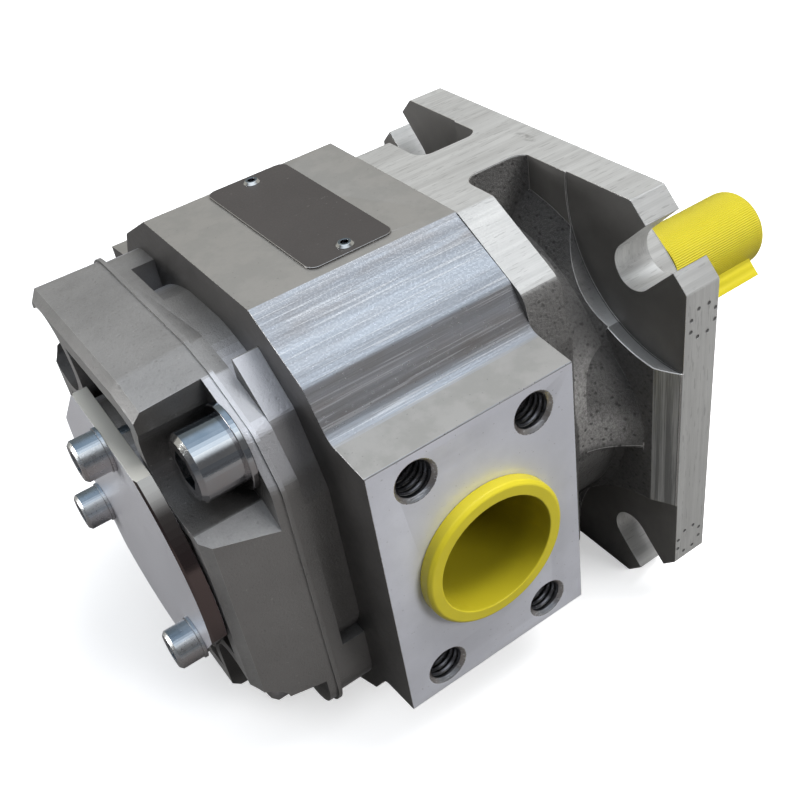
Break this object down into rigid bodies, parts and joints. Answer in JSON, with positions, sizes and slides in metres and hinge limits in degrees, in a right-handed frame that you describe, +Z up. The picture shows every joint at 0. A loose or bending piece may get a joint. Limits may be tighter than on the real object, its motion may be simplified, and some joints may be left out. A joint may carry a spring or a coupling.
{
  "type": "internal gear pump",
  "caption": "Internal gear pump with a square slotted mounting flange, keyed shaft, opposed side ports and transport plugs, for supplying oil pressure from a drive motor.",
  "frame": {"origin": "centre of the mounting flange's face, on the drive shaft's axis", "axes": "+X out along the drive shaft, +Z up through the nameplate, the suction port faces -Y and the pressure port +Y"},
  "size_m": [0.2042, 0.1333, 0.1172],
  "materials": {
    "cast_aluminium": "machined casting, brushed faces",
    "extruded_aluminium": "extruded, drawn lines",
    "die_cast_aluminium": "satin die casting",
    "milled_steel": "fine ground",
    "zinc_plated_steel": "bright zinc plated",
    "hardened_steel": "ground",
    "bearing_bronze": "bearing bronze",
    "seal_rubber": "nitrile rubber",
    "seal_case": "rubber covered case",
    "nameplate_film": "dark anodised plate",
    "yellow_plastic": "moulded polyethylene"
  },
  "bodies": {
    "pump_body": {"front_cover": "cast_aluminium", "gear_housing": "extruded_aluminium", "rear_cover": "die_cast_aluminium", "end_plate": "milled_steel", "end_plate_screws": "zinc_plated_steel", "end_plate_washers": "zinc_plated_steel", "cover_bolts": "zinc_plated_steel", "cover_bolt_washers": "zinc_plated_steel", "front_bush": "bearing_bronze", "rear_bush": "bearing_bronze", "front_axial_disc": "bearing_bronze", "rear_axial_disc": "bearing_bronze", "front_field_seal": "seal_rubber", "rear_field_seal": "seal_rubber", "segment_carrier": "hardened_steel", "segment": "hardened_steel", "sealing_rollers": "hardened_steel", "segment_spring": "hardened_steel", "stop_pin": "hardened_steel", "shaft_seal": "seal_case", "seal_circlip": "hardened_steel", "front_housing_ring": "seal_rubber", "rear_housing_ring": "seal_rubber", "end_plate_ring": "seal_rubber", "locating_pins": "hardened_steel", "nameplate": "nameplate_film", "nameplate_rivets": "zinc_plated_steel"},
    "drive_shaft": {"pinion_shaft": "hardened_steel", "shaft_key": "hardened_steel"},
    "ring_gear": {"ring_gear": "hardened_steel"},
    "shaft_cap": {"shaft_cap": "yellow_plastic"},
    "suction_plug": {"suction_plug": "yellow_plastic"},
    "pressure_plug": {"pressure_plug": "yellow_plastic"}
  },
  "joints": [
    {"name": "shaft_spin", "type": "hinge", "parent": "pump_body", "child": "drive_shaft", "pos_m": [0, 0, 0], "axis": [1, 0, 0], "continuous": true},
    {"name": "ring_spin", "type": "hinge", "parent": "pump_body", "child": "ring_gear", "pos_m": [0, 0.00975, 0], "axis": [1, 0, 0], "continuous": true},
    {"name": "cap_slide", "type": "slide", "parent": "drive_shaft", "child": "shaft_cap", "axis": [1, 0, 0], "range_m": [0, 0.045]},
    {"name": "suction_plug_slide", "type": "slide", "parent": "pump_body", "child": "suction_plug", "axis": [0, -1, 0], "range_m": [0, 0.03]},
    {"name": "pressure_plug_slide", "type": "slide", "parent": "pump_body", "child": "pressure_plug", "axis": [0, 1, 0], "range_m": [0, 0.03]}
  ],
  "couplings": [
    {"joint": "ring_spin", "follows": "shaft_spin", "ratio": 0.66667}
  ]
}
